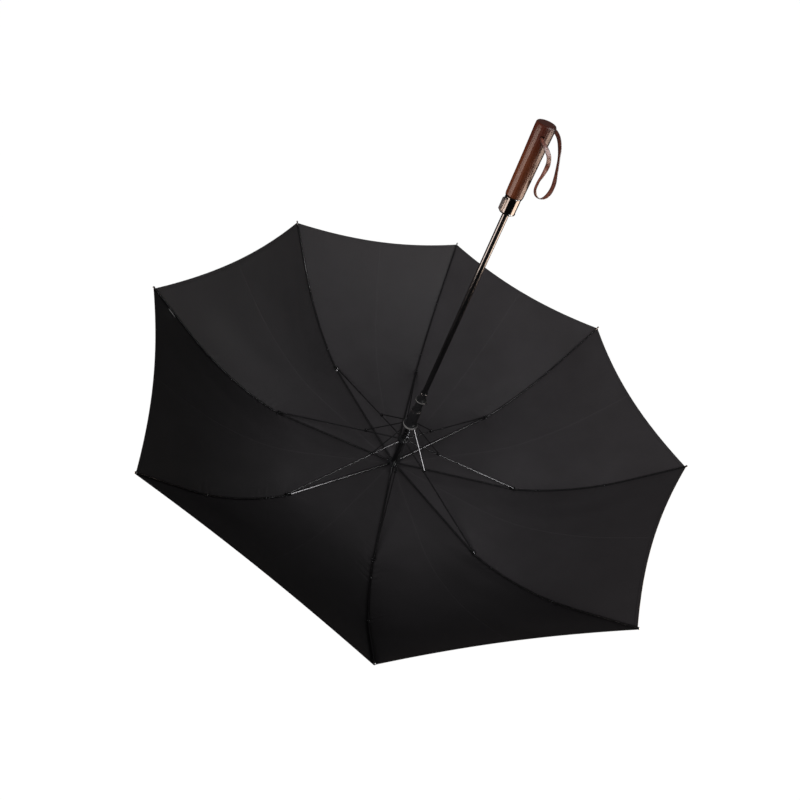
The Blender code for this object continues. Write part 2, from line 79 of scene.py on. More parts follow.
# The outer rib's curve and the canopy's set-back, as the CAD part has them.
RIB_START, RIB_END = math.radians(22.0), math.radians(50.0)
RIB_BEND_R, RIB_TAIL = 0.532, 0.125
BEND_LENGTH = RIB_BEND_R * (RIB_END - RIB_START)
RIB_LENGTH = INNER_LENGTH + BEND_LENGTH + RIB_TAIL
SCALLOP, SAG = 0.031, 0.009
CLOTH_DROP, CLOTH_THICK, HEM_THICK = 0.0023, 0.0003, 0.0008
TIES = (0.13, 0.54)


def in_plane(angle):
    return Vector((math.cos(angle), 0, math.sin(angle)))


def upward(angle):
    return Vector((-math.sin(angle), 0, math.cos(angle)))


def rib_point(s):
    """Point and slope of the rib's axis in its own plane, at length s from the crown."""
    if s <= INNER_LENGTH:
        return CROWN_HINGE + s * in_plane(INNER_SLOPE), INNER_SLOPE
    bent = min(s - INNER_LENGTH, BEND_LENGTH)
    slope = RIB_START + bent / RIB_BEND_R
    point = ELBOW + RIB_BEND_R * (upward(RIB_START) - upward(slope))
    return point + (s - INNER_LENGTH - bent) * in_plane(RIB_END), slope


def smooth_rib_point(s, window):
    """rib_point averaged over a stretch of cloth, which bridges the elbow's corner."""
    window = min(window, s, max(RIB_LENGTH - s, 0))
    if window < 0.001:
        return rib_point(s)
    total, slope = Vector(), 0
    for k in range(-3, 4):
        point, angle = rib_point(s + window * k / 3)
        total += point / 7
        slope += angle / 7
    return total, slope


def spun(vector, azimuth):
    return Matrix.Rotation(azimuth, 3, "Z") @ vector


# ---- camera -------------------------------------------------------------------------------
def camera():
    data = bpy.data.cameras.new("camera")
    data.sensor_width = 36
    data.lens = 26.02
    data.clip_end = 50
    made = bpy.data.objects.new("camera", data)
    bpy.context.scene.collection.objects.link(made)
    made.location = (-0.1404, -0.9057, 1.1628)
    made.rotation_euler = (0.76455, -0.28077, 0.17381)
    bpy.context.scene.camera = made


camera()


# ---- node helpers -------------------------------------------------------------------------
class Nodes:
    """Small helper that adds and wires a material's nodes."""

    def __init__(self, name, **sockets):
        self.material = bpy.data.materials.new(name)
        self.material.use_nodes = True
        self.tree = self.material.node_tree
        self.shader = self.tree.nodes["Principled BSDF"]
        for socket, value in sockets.items():
            self.shader.inputs[socket.replace("_", " ")].default_value = value

    def add(self, kind, links=(), values=(), **settings):
        node = self.tree.nodes.new("ShaderNode" + kind)
        for key, value in settings.items():
            setattr(node, key, value)
        for key, value in values:
            node.inputs[key].default_value = value
        for key, source in links:
            self.tree.links.new(source, node.inputs[key])
        return node

    def link(self, source, socket):
        self.tree.links.new(source, self.shader.inputs[socket])

    def math(self, operation, *terms):
        node = self.tree.nodes.new("ShaderNodeMath")
        node.operation = operation
        for k, term in enumerate(terms):
            if hasattr(term, "links"):
                self.tree.links.new(term, node.inputs[k])
            else:
                node.inputs[k].default_value = term
        return node.outputs[0]

    def ramp(self, source, stops):
        node = self.add("ValToRGB", [("Fac", source)])
        bar = node.color_ramp
        while len(bar.elements) < len(stops):
            bar.elements.new(0.5)
        for element, (place, colour) in zip(bar.elements, stops):
            element.position = place
            element.color = (*colour, 1)
        return node.outputs["Color"]

    def bump(self, height, strength, distance):
        node = self.add("Bump", [("Height", height)],
                        [("Strength", strength), ("Distance", distance)])
        self.link(node.outputs["Normal"], "Normal")

    def place(self, scale=(1, 1, 1), source="Object"):
        coordinates = self.add("TexCoord")
        mapping = self.add("Mapping", [("Vector", coordinates.outputs[source])],
                           [("Scale", scale)])
        return mapping.outputs["Vector"]

    def noise(self, vector, scale, detail=4, roughness=0.55):
        node = self.add("TexNoise", [("Vector", vector)],
                        [("Scale", scale), ("Detail", detail), ("Roughness", roughness)])
        return node.outputs["Fac"]


WARP_PITCH, WEFT_PITCH, STITCH_PITCH, TAPE_PITCH = 0.0007, 0.0006, 0.0036, 0.0008
STITCH_INSET, STITCH_HALF = 0.0065, 0.0006
CREASE_WIDTH, SEAM_SHADE_WIDTH = 0.0012, 0.0030


def cloth_material():
    """Black pongee: a fine weave, a crease down the gore with a painted highlight along it, painted
    shade along the seam, a stitched hem and painted shade on the hem's cut edge.

    The mesh says how far each point is from mid gore ("mid"), from its seam ("seam") and from the
    hem's edge ("rim"), in metres. Its UV map is in metres too.
    """
    n = Nodes("black_pongee_cloth", Specular_IOR_Level=0.10)
    uv = n.place(source="UV")
    parts = n.add("SeparateXYZ", [("Vector", uv)])
    across, along = parts.outputs["X"], parts.outputs["Y"]
    warp = n.math("SINE", n.math("MULTIPLY", across, 2 * math.pi / WARP_PITCH))
    weft = n.math("SINE", n.math("MULTIPLY", along, 2 * math.pi / WEFT_PITCH))
    weave = n.math("MULTIPLY", warp, weft)
    slub = n.noise(n.place((900, 60, 900), "UV"), 1.0, 3)
    broad = n.noise(n.place((1, 1, 1), "Object"), 7.0, 5, 0.6)
    mid = n.add("Attribute", attribute_name="mid").outputs["Fac"]
    rim = n.add("Attribute", attribute_name="rim").outputs["Fac"]
    seam = n.add("Attribute", attribute_name="seam").outputs["Fac"]
    crease = n.math("DIVIDE", 1.0, n.math("ADD", 1.0, n.math(
        "POWER", n.math("DIVIDE", mid, CREASE_WIDTH), 2.0)))
    stitch_line = n.math("COMPARE", rim, STITCH_INSET, STITCH_HALF)
    dashes = n.math("SINE", n.math("MULTIPLY", across, 2 * math.pi / STITCH_PITCH))
    stitch = n.math("MULTIPLY", stitch_line, n.math("GREATER_THAN", dashes, -0.3))
    # Painted shade: the cloth is darkened along each seam, where it runs under the rib.
    seam_shade = n.math("DIVIDE", 1.0, n.math("ADD", 1.0, n.math(
        "POWER", n.math("DIVIDE", seam, SEAM_SHADE_WIDTH), 2.0)))
    tone = n.math("ADD", n.math("MULTIPLY", broad, 0.75), n.math("MULTIPLY", slub, 0.25))
    base = n.ramp(tone, [(0.30, (0.0225, 0.0208, 0.0222)), (0.70, (0.0295, 0.0275, 0.0295))])
    # Painted highlight: a paler colour along the crease down the middle of the gore.
    crease_highlight = n.add("Mix", data_type="RGBA")
    n.tree.links.new(n.math("MULTIPLY", crease, 0.26), crease_highlight.inputs[0])
    n.tree.links.new(base, crease_highlight.inputs[6])
    crease_highlight.inputs[7].default_value = (0.045, 0.042, 0.045, 1)
    # Mixes towards near black for the hem's black stitches, which are real thread, and for painted
    # shade along the seam and on the hem's cut edge.
    stitches_and_painted_shade = n.add("Mix", data_type="RGBA")
    # Painted shade: the hem's cut edge is darkened.
    edge = n.math("LESS_THAN", rim, 0.0005)
    n.tree.links.new(n.math("MAXIMUM", n.math("MULTIPLY", seam_shade, 0.5), n.math(
        "MULTIPLY", n.math("MAXIMUM", stitch, edge), 0.7)), stitches_and_painted_shade.inputs[0])
    n.tree.links.new(crease_highlight.outputs[2], stitches_and_painted_shade.inputs[6])
    stitches_and_painted_shade.inputs[7].default_value = (0.0060, 0.0056, 0.0060, 1)
    n.link(stitches_and_painted_shade.outputs[2], "Base Color")
    n.link(n.math("ADD", 0.50, n.math("MULTIPLY", tone, 0.20)), "Roughness")
    height = n.math("ADD", n.math("MULTIPLY", weave, 0.12), n.math("ADD", n.math(
        "MULTIPLY", slub, 0.25), n.math("ADD", n.math("MULTIPLY", crease, 1.6), n.math(
            "MULTIPLY", stitch, -0.8))))
    n.bump(height, 0.35, 0.0005)
    return n.material


def lacquer_material():
    """Glossy black paint on steel, a little uneven along its length."""
    n = Nodes("black_lacquer_steel", Metallic=0.35, Specular_IOR_Level=0.8, Coat_Weight=0.6,
              Coat_Roughness=0.08)
    where = n.place()
    tone = n.noise(n.place((260, 260, 26)), 1.0, 5)
    n.link(n.ramp(tone, [(0.35, (0.0045, 0.0045, 0.0050)), (0.70, (0.0085, 0.0085, 0.0092))]),
           "Base Color")
    n.link(n.math("ADD", 0.14, n.math("MULTIPLY", tone, 0.12)), "Roughness")
    n.bump(n.noise(where, 420, 3), 0.12, 0.0003)
    return n.material


def channel_material():
    """Black-plated rib and stretcher steel, with a faint mottled tone."""
    n = Nodes("black_plated_steel", Metallic=0.9)
    tone = n.noise(n.place((160, 160, 160)), 1.0, 5)
    n.link(n.ramp(tone, [(0.35, (0.045, 0.044, 0.046)), (0.70, (0.080, 0.078, 0.081))]),
           "Base Color")
    n.link(n.math("ADD", 0.11, n.math("MULTIPLY", tone, 0.14)), "Roughness")
    n.bump(n.noise(n.place(), 700, 3), 0.02, 0.0002)
    return n.material


def plastic_material(name, colour, roughness):
    """Moulded plastic with a fine grain and faint flow marks."""
    n = Nodes(name, Specular_IOR_Level=0.55)
    where = n.place()
    tone = n.noise(where, 60, 5)
    dark = tuple(channel * 0.7 for channel in colour)
    n.link(n.ramp(tone, [(0.3, dark), (0.7, colour)]), "Base Color")
    n.link(n.math("ADD", roughness, n.math("MULTIPLY", tone, 0.12)), "Roughness")
    n.bump(n.noise(where, 900, 2), 0.12, 0.0003)
    return n.material


def chrome_material(name, colour, roughness, metallic=1.0):
    """Plated metal with fine handling marks."""
    n = Nodes(name, Metallic=metallic)
    marks = n.noise(n.place((400, 400, 60)), 1.0, 6, 0.7)
    dull = tuple(channel * 0.82 for channel in colour)
    n.link(n.ramp(marks, [(0.35, dull), (0.6, colour)]), "Base Color")
    n.link(n.math("ADD", roughness, n.math("MULTIPLY", marks, 0.10)), "Roughness")
    n.bump(marks, 0.04, 0.0003)
    return n.material


def wood_material():
    """Lacquered hardwood: long grain along the grip, pores, and colour that darkens towards the top
    end.
    """
    n = Nodes("lacquered_wood_grain", Coat_Weight=0.25, Coat_Roughness=0.32,
              Specular_IOR_Level=0.3)
    where = n.place((1, 1, 1))
    parts = n.add("SeparateXYZ", [("Vector", where)])
    warp = n.noise(n.place((55, 55, 5)), 1.0, 5, 0.6)
    rings = n.math("SINE", n.math("ADD", n.math("MULTIPLY", parts.outputs["X"], 700), n.math(
        "MULTIPLY", warp, 12)))
    fibre = n.noise(n.place((1500, 1500, 30)), 1.0, 4, 0.6)
    tone = n.math("ADD", n.math("MULTIPLY", rings, 0.05), n.math(
        "ADD", n.math("MULTIPLY", warp, 0.55), n.math("MULTIPLY", fibre, 0.35)))
    grain = n.ramp(tone, [(0.20, (0.050, 0.0100, 0.0020)), (0.48, (0.078, 0.0170, 0.0034)),
                          (0.80, (0.115, 0.0280, 0.0062))])
    # The colour darkens towards the grip's top end, and the end face is darkest.
    height = n.add("MapRange", [("Value", parts.outputs["Z"])],
                   [("From Min", GRIP_HIGH - 0.062), ("From Max", GRIP_HIGH - 0.012)],
                   interpolation_type="SMOOTHSTEP").outputs["Result"]
    blend = n.add("Mix", [(0, n.math("MULTIPLY", height, 0.80)), (6, grain)], data_type="RGBA")
    blend.inputs[7].default_value = (0.050, 0.0095, 0.0060, 1)
    n.link(blend.outputs[2], "Base Color")
    n.link(n.math("ADD", 0.34, n.math("MULTIPLY", fibre, 0.15)), "Roughness")
    n.bump(fibre, 0.10, 0.0003)
    return n.material


def leather_material():
    """Dyed leather strip with a darker burnished edge and pebbled grain."""
    n = Nodes("brown_leather_strip", Specular_IOR_Level=0.45, Coat_Weight=0.15,
              Coat_Roughness=0.3)
    where = n.place()
    pebble = n.add("TexVoronoi", [("Vector", where)], [("Scale", 1300)]).outputs["Distance"]
    tone = n.noise(where, 130, 6, 0.65)
    colour = n.ramp(tone, [(0.3, (0.070, 0.020, 0.014)), (0.62, (0.190, 0.064, 0.042))])
    edge = n.add("Attribute", attribute_name="edge").outputs["Fac"]
    blend = n.add("Mix", [(0, n.math("MULTIPLY", edge, 0.75)), (6, colour)], data_type="RGBA")
    blend.inputs[7].default_value = (0.028, 0.008, 0.006, 1)
    n.link(blend.outputs[2], "Base Color")
    n.link(n.math("ADD", 0.38, n.math("MULTIPLY", tone, 0.2)), "Roughness")
    n.bump(pebble, 0.35, 0.0003)
    return n.material


def label_material():
    """Plain white woven tape."""
    n = Nodes("white_woven_tape")
    uv = n.add("SeparateXYZ", [("Vector", n.place(source="UV"))])
    weave = n.math("MULTIPLY",
                   n.math("SINE", n.math("MULTIPLY", uv.outputs["X"], 2 * math.pi / TAPE_PITCH)),
                   n.math("SINE", n.math("MULTIPLY", uv.outputs["Y"], 2 * math.pi / TAPE_PITCH)))
    n.link(n.ramp(weave, [(0.0, (0.70, 0.70, 0.69)), (0.8, (0.86, 0.86, 0.85))]), "Base Color")
    n.link(n.math("ADD", 0.75, n.math("MULTIPLY", weave, 0.05)), "Roughness")
    n.bump(weave, 0.3, 0.0002)
    return n.material


CLOTH, LACQUER, CHANNEL = cloth_material(), lacquer_material(), channel_material()
BLACK_PLASTIC = plastic_material("black_moulded_plastic", (0.012, 0.012, 0.013), 0.22)
BLACK_THREAD = plastic_material("black_thread", (0.004, 0.004, 0.005), 0.60)
PALE_RING = chrome_material("satin_nickel", (0.42, 0.41, 0.40), 0.38, 0.6)
BUTTON = chrome_material("satin_button", (0.15, 0.14, 0.14), 0.36, 0.8)
CHROME = chrome_material("dark_chrome", (0.085, 0.081, 0.078), 0.10)
STEEL_WIRE = chrome_material("drawn_steel_wire", (0.16, 0.16, 0.17), 0.28)
RIVET = chrome_material("blackened_rivet", (0.20, 0.20, 0.21), 0.30)
WOOD, LEATHER, LABEL = wood_material(), leather_material(), label_material()

NODE_FINISH = {"shaft_tube": LACQUER, "ferrule": BLACK_PLASTIC, "canopy_cap": BLACK_PLASTIC,
               "crown": BLACK_PLASTIC, "upper_notch": BLACK_PLASTIC, "runner": BLACK_PLASTIC,
               "grip": WOOD, "collar": CHROME, "push_button": BUTTON, "button_spring": STEEL_WIRE,
               "rib_inner": CHANNEL, "rib_outer": CHANNEL, "stretcher": CHANNEL,
               "link": CHANNEL, "rib_tip": LACQUER}
for name, node in frame["nodes"].items():
    finish = NODE_FINISH.get(name) or NODE_FINISH.get(name.rsplit("_", 1)[0])
    if finish:
        node.data.materials.clear()
        node.data.materials.append(finish)


# ---- mesh helpers -------------------------------------------------------------------------
def piece(name, build, finish, body, sharp=40):
    """Makes an object from what build adds to a bmesh, and rides it on a body."""
    bm = bmesh.new()
    build(bm)
    bmesh.ops.recalc_face_normals(bm, faces=bm.faces)
    mesh = bpy.data.meshes.new(name)
    bm.to_mesh(mesh)
    bm.free()
    mesh.shade_smooth()
    mesh.set_sharp_from_angle(angle=math.radians(sharp))
    mesh.materials.append(finish)
    made = bpy.data.objects.new(name, mesh)
    bpy.context.scene.collection.objects.link(made)
    if body:
        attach(made, body)
    return made


def add_tube(bm, path, radius, sides=8, closed=False):
    """Adds a round tube along a path to bm."""
    rings, count = [], len(path)
    normal = None
    for k, at in enumerate(path):
        before = path[k - 1] if k or closed else path[0]
        after = path[(k + 1) % count] if k + 1 < count or closed else path[-1]
        tangent = (after - before).normalized()
        if normal is None:
            normal = tangent.orthogonal().normalized()
        normal = (normal - normal.dot(tangent) * tangent).normalized()
        side = tangent.cross(normal)
        rings.append([bm.verts.new(at + radius * (math.cos(2 * math.pi * j / sides) * normal
                                                  + math.sin(2 * math.pi * j / sides) * side))
                      for j in range(sides)])
    pairs = list(zip(rings, rings[1:] + rings[:1])) if closed else list(zip(rings, rings[1:]))
    for a, b in pairs:
        for j in range(sides):
            bm.faces.new((a[j], a[(j + 1) % sides], b[(j + 1) % sides], b[j]))
    if not closed:
        bm.faces.new(rings[0])
        bm.faces.new(rings[-1])


def add_turned(bm, profile, place, sides=16):
    """Adds a closed solid of revolution, from (radius, height) pairs with both ends on its axis."""
    rings = []
    for radius, height in profile:
        count = sides if radius else 1
        rings.append([bm.verts.new(place @ Vector((radius * math.cos(2 * math.pi * k / sides),
                                                   radius * math.sin(2 * math.pi * k / sides),
                                                   height))) for k in range(count)])
    for a, b in zip(rings, rings[1:]):
        for k in range(sides):
            corners = [a[k % len(a)], a[(k + 1) % len(a)], b[(k + 1) % len(b)], b[k % len(b)]]
            distinct = list(dict.fromkeys(corners))
            if len(distinct) > 2:
                bm.faces.new(distinct)


def add_ring(bm, centre_z, outline, sides=48):
    """Adds a ring round the shaft, from a closed outline of (radius, height)."""
    rings = []
    for radius, height in outline:
        rings.append([bm.verts.new((radius * math.cos(2 * math.pi * k / sides),
                                    radius * math.sin(2 * math.pi * k / sides),
                                    centre_z + height)) for k in range(sides)])
    for a, b in zip(rings, rings[1:] + rings[:1]):
        for k in range(sides):
            bm.faces.new((a[k], a[(k + 1) % sides], b[(k + 1) % sides], b[k]))


# ---- the strap, the only free cord ----------------------------------------------------------
STRAP_WIDTH, STRAP_THICK, STRAP_RINGS = 0.0070, 0.0018, 90
STRAP_HOLE_BELOW_END = 0.017
# The strip's middle line, from the hole's middle: out at the front and back in behind.
STRAP_ROUTE = [
    (0.0000, -0.0120, 0.0000), (0.0001, -0.0185, -0.0004), (0.0034, -0.0232, -0.0030),
    (0.0110, -0.0254, -0.0085), (0.0190, -0.0246, -0.0170), (0.0235, -0.0222, -0.0290),
    (0.0240, -0.0188, -0.0440), (0.0228, -0.0150, -0.0585), (0.0245, -0.0100, -0.0740),
    (0.0315, -0.0052, -0.0850), (0.0415, -0.0018, -0.0872), (0.0490, 0.0025, -0.0795),
    (0.0508, 0.0065, -0.0650), (0.0468, 0.0105, -0.0465), (0.0415, 0.0145, -0.0280),
    (0.0362, 0.0184, -0.0140), (0.0282, 0.0222, -0.0020), (0.0180, 0.0250, 0.0046),
    (0.0090, 0.0250, 0.0050), (0.0028, 0.0222, 0.0026), (0.0001, 0.0180, 0.0003),
    (0.0000, 0.0120, 0.0000),
]
# How far the strip is turned about its own line, in degrees, at shares of its length, and how
# much of its width it has there: it is folded narrower inside the grip's hole.
STRAP_TWIST = [(0.0, 0), (0.17, 5), (0.24, 58), (0.31, 84), (0.37, 98), (0.45, 112),
               (0.52, 146), (0.57, 132), (0.65, 100), (0.72, 90), (0.79, 108), (1.0, 96)]
STRAP_SHARE = [(0.0, 0.70), (0.03, 0.72), (0.10, 1.0), (0.90, 1.0), (0.97, 0.72), (1.0, 0.70)]


def smooth_route(points, count):
    """Evenly spaced points on a smooth curve through the given ones, and the curve's length."""
    knots = [Vector(p) for p in points]
    fine = []
    for k in range(len(knots) - 1):
        before = knots[max(k - 1, 0)]
        after = knots[min(k + 2, len(knots) - 1)]
        first = knots[k] + (knots[k + 1] - before) / 6
        second = knots[k + 1] - (after - knots[k]) / 6
        fine += interpolate_bezier(knots[k], first, second, knots[k + 1], 13)[:-1]
    fine.append(knots[-1])
    lengths = [0.0]
    for a, b in zip(fine, fine[1:]):
        lengths.append(lengths[-1] + (b - a).length)
    even, k = [], 0
    for n in range(count):
        target = lengths[-1] * n / (count - 1)
        while k < len(fine) - 2 and lengths[k + 1] < target:
            k += 1
        share = (target - lengths[k]) / (lengths[k + 1] - lengths[k])
        even.append(fine[k].lerp(fine[k + 1], share))
    return even, lengths[-1]


def between(table, at):
    """Value at a place in a table of (place, value), eased from row to row."""
    for (low, a), (high, b) in zip(table, table[1:]):
        if at <= high:
            share = (at - low) / (high - low)
            share = share * share * (3 - 2 * share)
            return a + (b - a) * share
    return table[-1][1]


def wrist_strap():
    origin = Vector((0, 0, GRIP_HIGH - STRAP_HOLE_BELOW_END))
    local, length = smooth_route(STRAP_ROUTE, STRAP_RINGS)
    path, last = [origin + at for at in local], STRAP_RINGS - 1
    facing = Vector((0.08, -0.70, 0.70))
    outline = []
    for sign in (1, -1):
        for k in range(5):
            across = sign * (-0.5 + k / 4)
            crown = 0.5 - 0.16 * (2 * abs(across)) ** 3
            outline.append((across * STRAP_WIDTH, sign * crown * STRAP_THICK))

    def build(bm):
        edge = bm.verts.layers.float.new("edge")
        rings = []
        for k, at in enumerate(path):
            tangent = (path[min(k + 1, last)] - path[max(k - 1, 0)]).normalized()
            wide = tangent.cross(facing).normalized()
            twist = math.radians(between(STRAP_TWIST, k / last))
            wide.rotate(Matrix.Rotation(twist, 3, tangent))
            thick = tangent.cross(wide)
            wide *= between(STRAP_SHARE, k / last)
            ring = []
            for across, up in outline:
                corner = bm.verts.new(at + across * wide + up * thick)
                corner[edge] = max(0.0, abs(2 * across / STRAP_WIDTH) * 3 - 2)
                ring.append(corner)
            rings.append(ring)
        sides = len(outline)
        for a, b in zip(rings, rings[1:]):
            for j in range(sides):
                bm.faces.new((a[j], a[(j + 1) % sides], b[(j + 1) % sides], b[j]))
        bm.faces.new(rings[0])
        bm.faces.new(rings[-1])
    made = piece("wrist_strap_leather", build, LEATHER, "frame", 60)
    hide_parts("wrist_strap")


wrist_strap()


# ---- canopy -------------------------------------------------------------------------------
ACROSS = 13
CLOTH_START, RIM = 0.0025, RIB_LENGTH - 0.0010
ROW_STEP, HEM_WIDTH = 0.0068, 0.0085
HEM_ROWS = (0.0090, 0.0082, 0.0040, 0)
HUB_REACH, HUB_DROP = 0.035, 0.0050
PUCKER_PITCH, PUCKER_HEIGHT, TIE_PUCKER, BROAD_PULL = 0.017, 0.00026, 0.00175, 0.0011


def cloth_point(s, v):
    """Point on the cloth's face towards the ribs, for a gore drawn about the X axis.

    s is the length along the gore from the hub, and v is the place across it, from -1 to 1.
    """
    slack = 1 - v * v
    length = s * (1 - SCALLOP * slack)
    point, slope = smooth_rib_point(length, 0.055 * slack)
    hub = max(0.0, 1 - length / HUB_REACH)
    point = point - (CLOTH_DROP + HUB_DROP * hub * hub * (3 - 2 * hub)) * upward(slope)
    sag = SAG * slack * math.sin(math.pi * min(1.0, length / RIB_LENGTH)) ** 2
    point = point + sag * upward(slope)
    return Vector((point.x * math.cos(HALF), point.x * math.sin(HALF) * v, point.z))


def cloth_normal(s, v):
    reach, turn = 0.004, 0.02
    along = cloth_point(s + reach, v) - cloth_point(max(s - reach, 0), v)
    across = cloth_point(s, min(v + turn, 1)) - cloth_point(s, max(v - turn, -1))
    return along.cross(across).normalized()


def ripple(s, v, rib):
    """Small waves in the cloth: puckers along the rib's seam and faint pulls between the ties."""
    offset = (1 - abs(v)) * s * math.sin(HALF)
    elbow = s - INNER_LENGTH
    outer = RIB_LENGTH - INNER_LENGTH
    near = max(math.exp(-((elbow - share * outer) / 0.030) ** 2) for share in TIES)
    near = max(near, math.exp(-(elbow / 0.035) ** 2))
    wave = math.sin(s * 2 * math.pi / PUCKER_PITCH + 5 * noise.noise(Vector((s * 9, rib, 0.3))))
    fade = min(1.0, max(0.0, (RIM - s) / 0.02)) * min(1.0, offset / 0.002)
    height = PUCKER_HEIGHT + TIE_PUCKER * near
    seam = height * wave * math.exp(-offset / (0.010 + 0.008 * near))
    side = 1.7 if v > 0 else -1.7
    pull = noise.noise(Vector((s * 5.5 + side * offset * 9, offset * 22 - side * s * 3, rib * 3.1)))
    broad = BROAD_PULL * pull * min(1.0, offset / 0.03) * min(1.0, (1 - abs(abs(v) - 0.5)) * 1.6)
    return (seam + broad * min(1.0, abs(v) / 0.15)) * fade


def rows(first, last):
    """Lengths for the cloth's rows, with four set ones at the hem."""
    count = max(2, round((last - first) / ROW_STEP))
    lengths = [first + (last - first) * k / count for k in range(count + 1)]
    if last == RIM:
        lengths = [s for s in lengths if s < RIM - HEM_ROWS[0] - 0.0005]
        lengths += [RIM - inset for inset in HEM_ROWS]
    return lengths


def gore_piece(rib, side, part):
    """One half gore's inner or outer part, joined to its rib, with both faces and its hem."""
    azimuth = (rib + 0.5 * side) * STEP
    lengths = rows(CLOTH_START, INNER_LENGTH) if part == "inner" else rows(INNER_LENGTH, RIM)
    # The face towards the ribs, in rows from the hub and columns from the seam to mid gore.
    spread = [-side * (1 - (k / ACROSS) ** 1.45) for k in range(ACROSS + 1)]
    grid, normals = [], []
    for s in lengths:
        line, line_normals = [], []
        for v in spread:
            normal = cloth_normal(s, v)
            wobble = ripple(s, v, rib) if abs(v) > 1e-6 else 0
            line.append(spun(cloth_point(s, v) - wobble * normal, azimuth))
            line_normals.append(spun(normal, azimuth))
        grid.append(line)
        normals.append(line_normals)
    # Away from the joins, the normals follow the ripples.
    for r, line in enumerate(grid):
        for c in range(1, ACROSS):
            up = grid[min(r + 1, len(grid) - 1)][c] - grid[max(r - 1, 0)][c]
            over = line[c + 1] - line[c - 1]
            found = up.cross(over) * side
            if found.length > 0 and 0 < r < len(grid) - 1:
                found.normalize()
                if found.dot(normals[r][c]) < 0:
                    found = -found
                normals[r][c] = found
    width, count = ACROSS + 1, len(lengths)
    points, faces, loops, uvs = [], [], [], []
    marks = {"mid": [], "seam": [], "rim": []}
    # Skin 0 is that face, and skin 1 lies the cloth's thickness below it.
    for skin in (0, 1):
        for r, s in enumerate(lengths):
            hem = 1.0 if s > RIM - HEM_WIDTH else 0.0
            thick = CLOTH_THICK + hem * (HEM_THICK - CLOTH_THICK)
            for c, v in enumerate(spread):
                down = normals[r][c]
                if down.z > 0:
                    down = -down
                points.append(grid[r][c] + skin * thick * down)
                offset = s * math.sin(HALF)
                marks["mid"].append(abs(v) * offset)
                marks["seam"].append((1 - abs(v)) * offset)
                marks["rim"].append(RIM - s)
                uvs.append((v * offset, s))
    total = width * count

    def at(skin, r, c):
        return skin * total + r * width + c
    for skin in (0, 1):
        for r in range(count - 1):
            for c in range(ACROSS):
                face = [at(skin, r, c), at(skin, r, c + 1), at(skin, r + 1, c + 1),
                        at(skin, r + 1, c)]
                a, b, d = (points[face[k]] for k in (0, 1, 3))
                facing = (b - a).cross(d - a).z
                if (facing > 0) != (skin == 0):
                    face.reverse()
                faces.append(face)
                for corner in face:
                    where = corner - skin * total
                    down = normals[where // width][where % width]
                    up = down if down.z > 0 else -down
                    loops.append(up if skin == 0 else -up)
    edges = [[(count - 1, c) for c in range(width)], [(0, c) for c in range(width)],
             [(r, 0) for r in range(count)], [(r, ACROSS) for r in range(count)]]
    middle = sum(points, Vector()) / len(points)
    for edge in edges:
        for (r, c), (r2, c2) in zip(edge, edge[1:]):
            face = [at(0, r, c), at(0, r2, c2), at(1, r2, c2), at(1, r, c)]
            flat = (points[face[1]] - points[face[0]]).cross(points[face[3]] - points[face[0]])
            if flat.dot(points[face[0]] - middle) < 0:
                face.reverse()
                flat = -flat
            faces.append(face)
            loops += [flat.normalized()] * 4
    mesh = bpy.data.meshes.new("canopy")
    mesh.from_pydata([tuple(p) for p in points], [], faces)
    for key, values in marks.items():
        layer = mesh.attributes.new(key, "FLOAT", "POINT")
        layer.data.foreach_set("value", values)
    layer = mesh.uv_layers.new(name="UVMap")
    for loop in mesh.loops:
        layer.data[loop.index].uv = uvs[loop.vertex_index]
    mesh.shade_smooth()
    mesh.normals_split_custom_set([tuple(n) for n in loops])
    mesh.materials.append(CLOTH)
    letter = "a" if side > 0 else "b"
    made = bpy.data.objects.new(f"canopy_{part}_{rib + 1}{letter}", mesh)
    bpy.context.scene.collection.objects.link(made)
    body = f"rib_{rib + 1}" + ("" if part == "inner" else "_outer")
    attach(made, body)
    fold_to_rib(made, rib, side, part)
    return made


def fold_to_rib(made, rib, side, part):
    """Works out a canopy piece's chord and the direction across it towards its seam, and gives the
    piece a mesh of its own.
    """
    start, end = (CLOTH_START, INNER_LENGTH) if part == "inner" else (INNER_LENGTH, RIM)

    def cloth_at(s, v):
        return spun(cloth_point(s, -side * v), (rib + 0.5 * side) * STEP)
    chord = (cloth_at(end, 1) - cloth_at(start, 1)).normalized()
    across = Vector()
    for k in range(1, 9):
        s = start + (end - start) * k / 8
        across += cloth_at(s, 0) - cloth_at(s, 1)
    across -= across.dot(chord) * chord
    tuple(cloth_at(INNER_LENGTH, 1))
    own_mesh(made)


def canopy():
    for rib in range(RIBS):
        inner = [gore_piece(rib, side, "inner") for side in (1, -1)]
        for side in (1, -1):
            gore_piece(rib, side, "outer")
        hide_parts(f"canopy_panel_{rib + 1}")


canopy()


LABEL_FROM_TIP, LABEL_LONG, LABEL_WIDE, LABEL_THICK = 0.063, 0.016, 0.012, 0.0003
LABEL_GAP, LABEL_LIFT, LABEL_CURL = 0.004, 0.0009, 0.0040


